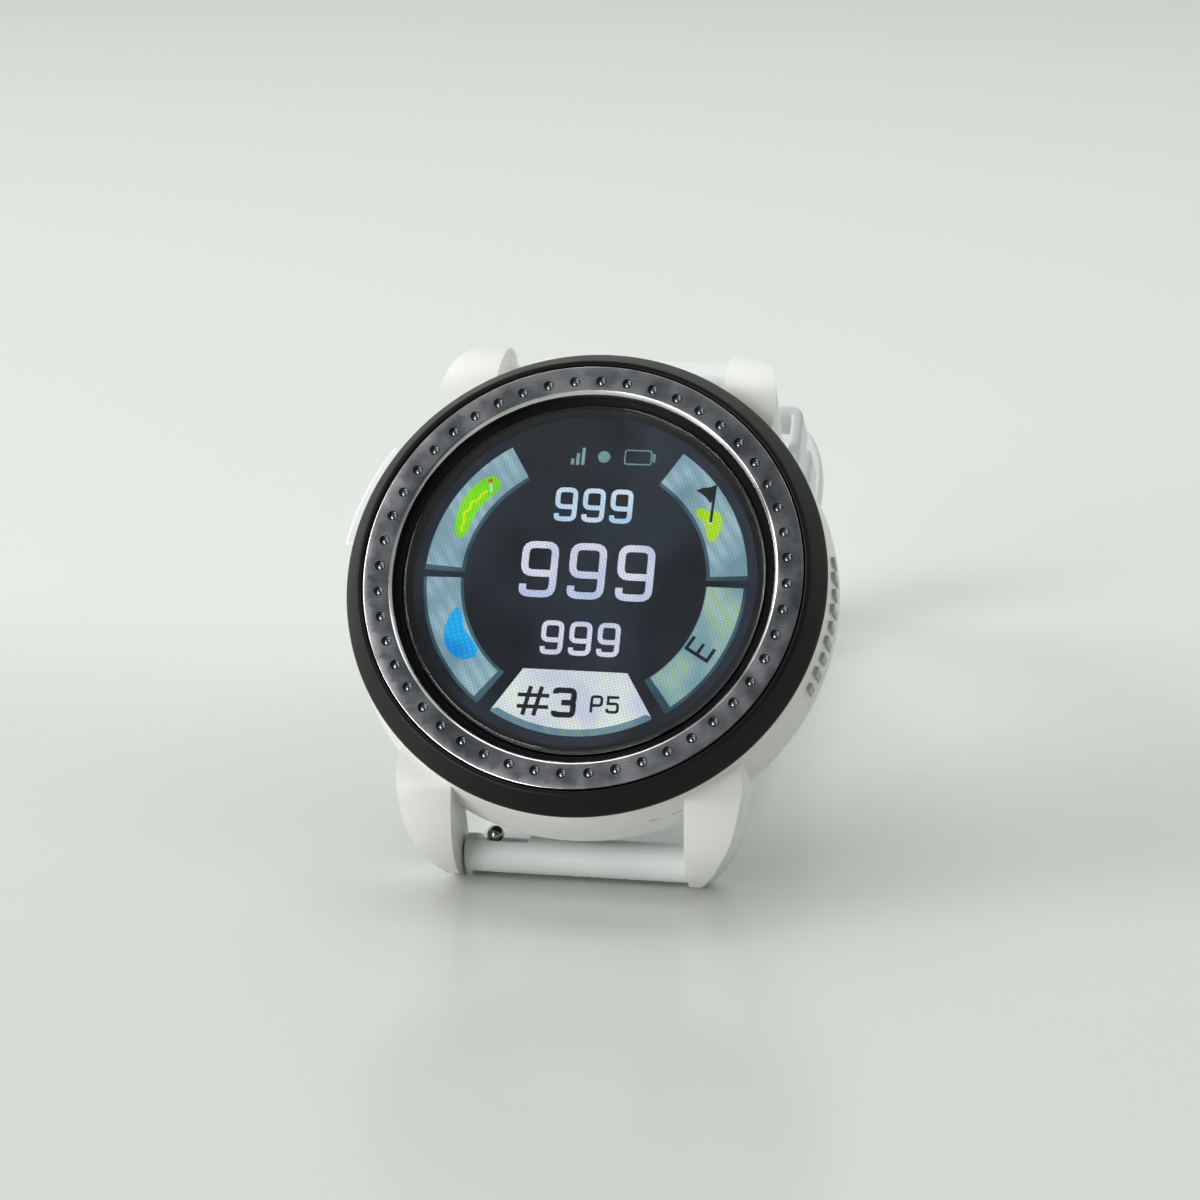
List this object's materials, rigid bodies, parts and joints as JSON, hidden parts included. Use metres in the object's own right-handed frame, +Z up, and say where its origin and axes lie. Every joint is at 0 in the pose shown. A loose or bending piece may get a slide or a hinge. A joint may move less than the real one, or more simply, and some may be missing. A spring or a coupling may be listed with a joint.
{
  "type": "golf gps watch",
  "caption": "Round golf GPS wristwatch with dimpled metal ring, touch display, side button, and a two-part quick-release silicone strap with pin buckle, standing on its lugs.",
  "frame": {"origin": "middle of the base, on the surface that the watch stands on", "axes": "+Z up, the dial faces -Y and leans back 32.6 degrees, +X to 3 o'clock along the spring bars, the strap runs towards +Y"},
  "size_m": [0.0472, 0.1226, 0.0475],
  "materials": {
    "white_case_resin": "satin",
    "white_gloss_resin": "gloss",
    "black_satin": "satin",
    "black_resin": "matte",
    "brushed_gunmetal": "brushed",
    "polished_steel": "polished",
    "cover_glass": "polished",
    "display": "lit display",
    "white_silicone": "soft matte",
    "black_rubber": "matte",
    "circuit_board": "solder mask",
    "tinned_can": "satin",
    "antenna_ceramic": "matte",
    "battery_pouch": "satin",
    "battery_foam": "matte",
    "gold_plate": "polished",
    "flex_circuit": "satin",
    "display_tray": "matte"
  },
  "bodies": {
    "case": {"mid_case": "white_case_resin", "outer_bezel": "black_satin", "dimpled_ring": "brushed_gunmetal", "cover_glass": "cover_glass", "bezel_gasket": "black_rubber", "back_cover": "black_resin", "back_gasket": "black_rubber", "back_screw_1": "polished_steel", "back_screw_2": "polished_steel", "back_screw_3": "polished_steel", "back_screw_4": "polished_steel", "charging_contact_1": "gold_plate", "charging_contact_2": "gold_plate", "charging_contact_3": "gold_plate", "charging_contact_4": "gold_plate", "touch_film": "black_resin", "display_panel": "display", "display_tray": "display_tray", "display_flex": "flex_circuit", "main_board": "circuit_board", "tact_switch": "display_tray", "processor_can": "tinned_can", "gps_receiver_can": "tinned_can", "gps_patch_antenna": "antenna_ceramic", "radio_antenna": "antenna_ceramic", "battery_foam": "battery_foam", "battery_cell": "battery_pouch", "contact_board": "circuit_board", "button_spring": "polished_steel"},
    "button": {"button_cap": "white_gloss_resin", "button_stem": "polished_steel", "button_seal": "black_rubber", "button_clip": "polished_steel"},
    "strap_long": {"strap_long_half": "white_silicone", "lower_bar_tube": "polished_steel", "lower_fixed_pin": "polished_steel", "lower_bar_spring": "polished_steel"},
    "strap_buckle": {"strap_buckle_half": "white_silicone", "upper_bar_tube": "polished_steel", "upper_fixed_pin": "polished_steel", "upper_bar_spring": "polished_steel", "buckle_pin": "polished_steel", "fixed_keeper": "white_silicone"},
    "release_lower": {"lower_release_pin": "polished_steel"},
    "release_upper": {"upper_release_pin": "polished_steel"},
    "buckle": {"buckle_frame": "polished_steel"},
    "tang": {"buckle_tang": "polished_steel"},
    "keeper": {"free_keeper": "white_silicone"}
  },
  "joints": [
    {"name": "button_press", "type": "slide", "parent": "case", "child": "button", "axis": [0.9367, -0.1887, -0.295], "range_m": [0, 0.0005], "stiffness_N_per_m": 3000, "springref_m": -0.0004, "deforming": ["button_spring"]},
    {"name": "strap_long_hinge", "type": "hinge", "parent": "case", "child": "strap_long", "pos_m": [0.00021, -0.05145, 0.0022], "axis": [1, 0, 0], "range_deg": [-130, 0]},
    {"name": "strap_buckle_hinge", "type": "hinge", "parent": "case", "child": "strap_buckle", "pos_m": [0.00021, -0.0258, 0.0423], "axis": [1, 0, 0], "range_deg": [0, 80]},
    {"name": "release_lower_slide", "type": "slide", "parent": "strap_long", "child": "release_lower", "axis": [1, 0, 0], "range_m": [0, 0.0016], "stiffness_N_per_m": 800, "springref_m": -0.001, "deforming": ["lower_bar_spring"]},
    {"name": "release_upper_slide", "type": "slide", "parent": "strap_buckle", "child": "release_upper", "axis": [1, 0, 0], "range_m": [0, 0.0016], "stiffness_N_per_m": 800, "springref_m": -0.001, "deforming": ["upper_bar_spring"]},
    {"name": "buckle_hinge", "type": "hinge", "parent": "strap_buckle", "child": "buckle", "pos_m": [0.00021, 0.03167, 0.01549], "axis": [1, 0, 0], "range_deg": [-95, 0]},
    {"name": "tang_hinge", "type": "hinge", "parent": "strap_buckle", "child": "tang", "pos_m": [0.00021, 0.03167, 0.01549], "axis": [1, 0, 0], "range_deg": [0, 90]},
    {"name": "keeper_slide", "type": "slide", "parent": "strap_buckle", "child": "keeper", "axis": [0, 0.8018, -0.5976], "range_m": [-0.005, 0.005]}
  ]
}
